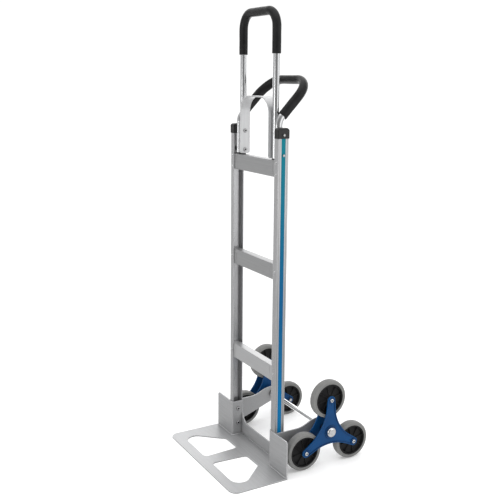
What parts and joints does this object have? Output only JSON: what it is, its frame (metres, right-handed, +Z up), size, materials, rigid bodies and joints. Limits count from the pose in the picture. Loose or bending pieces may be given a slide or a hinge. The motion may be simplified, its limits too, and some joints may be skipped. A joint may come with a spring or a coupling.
{
  "type": "stair climbing trolley",
  "caption": "Upright stair climbing hand truck with a nose plate, tall loop handle, leaning rear handle and three-wheeled stars on an axle.",
  "frame": {"origin": "on the ground, at the middle of the footprint", "axes": "+Z up, +X to the right of a person who stands at the load side and looks at the trolley, -Y towards the load"},
  "size_m": [0.496, 0.5596, 1.55],
  "materials": {
    "rail_aluminium": "satin anodised extrusion",
    "bar_aluminium": "satin anodised extrusion",
    "tube_aluminium": "bright drawn tube",
    "strap_aluminium": "satin flat bar",
    "plate_metal": "satin sheet",
    "blue_strip": "smooth extruded plastic",
    "black_plastic": "moulded, slightly glossy",
    "black_foam": "soft foam sleeve, matte",
    "bright_steel": "bright chromed",
    "zinc_steel": "zinc plated, duller than chrome",
    "blue_star": "smooth blue moulding",
    "wheel_hub": "moulded hub, satin black",
    "grey_tyre": "solid grey rubber"
  },
  "bodies": {
    "frame": {"top_crossbar": "bar_aluminium", "middle_crossbar": "bar_aluminium", "bottom_crossbar": "bar_aluminium", "crossbar_rivets": "bright_steel", "loop_handle_tube": "tube_aluminium", "loop_handle_grip": "black_foam", "loop_handle_plugs": "black_plastic", "strap_bracket": "strap_aluminium", "handle_bolts": "zinc_steel", "handle_nuts": "zinc_steel", "handle_spacers": "zinc_steel", "rear_handle_tube": "tube_aluminium", "rear_handle_grip": "black_foam", "rear_handle_plugs": "black_plastic", "nose_plate": "plate_metal", "back_sheet": "plate_metal", "frame_bolts": "zinc_steel", "frame_nuts": "zinc_steel", "frame_spacers": "zinc_steel", "axle": "bright_steel", "axle_bushes": "zinc_steel", "axle_spacers": "black_plastic", "axle_caps": "bright_steel", "left_rail": "rail_aluminium", "left_rail_strip": "blue_strip", "left_rail_cap": "black_plastic", "left_axle_bracket": "plate_metal", "left_ear_plate": "plate_metal", "right_rail": "rail_aluminium", "right_rail_strip": "blue_strip", "right_rail_cap": "black_plastic", "right_axle_bracket": "plate_metal", "right_ear_plate": "plate_metal"},
    "left_star": {"left_outer_star": "blue_star", "left_inner_star": "blue_star", "left_hub_sleeve": "zinc_steel", "left_wheel_bolts": "bright_steel", "left_wheel_nuts": "zinc_steel", "left_wheel_sleeves": "zinc_steel"},
    "left_top_wheel": {"left_top_wheel_hub": "wheel_hub", "left_top_tyre": "grey_tyre"},
    "left_front_wheel": {"left_front_wheel_hub": "wheel_hub", "left_front_tyre": "grey_tyre"},
    "left_rear_wheel": {"left_rear_wheel_hub": "wheel_hub", "left_rear_tyre": "grey_tyre"},
    "right_star": {"right_outer_star": "blue_star", "right_inner_star": "blue_star", "right_hub_sleeve": "zinc_steel", "right_wheel_bolts": "bright_steel", "right_wheel_nuts": "zinc_steel", "right_wheel_sleeves": "zinc_steel"},
    "right_top_wheel": {"right_top_wheel_hub": "wheel_hub", "right_top_tyre": "grey_tyre"},
    "right_front_wheel": {"right_front_wheel_hub": "wheel_hub", "right_front_tyre": "grey_tyre"},
    "right_rear_wheel": {"right_rear_wheel_hub": "wheel_hub", "right_rear_tyre": "grey_tyre"}
  },
  "joints": [
    {"name": "left_star_spin", "type": "hinge", "parent": "frame", "child": "left_star", "pos_m": [-0.209, 0.1132, 0.1245], "axis": [1, 0, 0], "continuous": true},
    {"name": "left_top_wheel_spin", "type": "hinge", "parent": "left_star", "child": "left_top_wheel", "pos_m": [-0.209, 0.1132, 0.2395], "axis": [1, 0, 0], "continuous": true},
    {"name": "left_front_wheel_spin", "type": "hinge", "parent": "left_star", "child": "left_front_wheel", "pos_m": [-0.209, 0.01361, 0.067], "axis": [1, 0, 0], "continuous": true},
    {"name": "left_rear_wheel_spin", "type": "hinge", "parent": "left_star", "child": "left_rear_wheel", "pos_m": [-0.209, 0.2128, 0.067], "axis": [1, 0, 0], "continuous": true},
    {"name": "right_star_spin", "type": "hinge", "parent": "frame", "child": "right_star", "pos_m": [0.209, 0.1132, 0.1245], "axis": [1, 0, 0], "continuous": true},
    {"name": "right_top_wheel_spin", "type": "hinge", "parent": "right_star", "child": "right_top_wheel", "pos_m": [0.209, 0.1132, 0.2395], "axis": [1, 0, 0], "continuous": true},
    {"name": "right_front_wheel_spin", "type": "hinge", "parent": "right_star", "child": "right_front_wheel", "pos_m": [0.209, 0.01361, 0.067], "axis": [1, 0, 0], "continuous": true},
    {"name": "right_rear_wheel_spin", "type": "hinge", "parent": "right_star", "child": "right_rear_wheel", "pos_m": [0.209, 0.2128, 0.067], "axis": [1, 0, 0], "continuous": true}
  ]
}
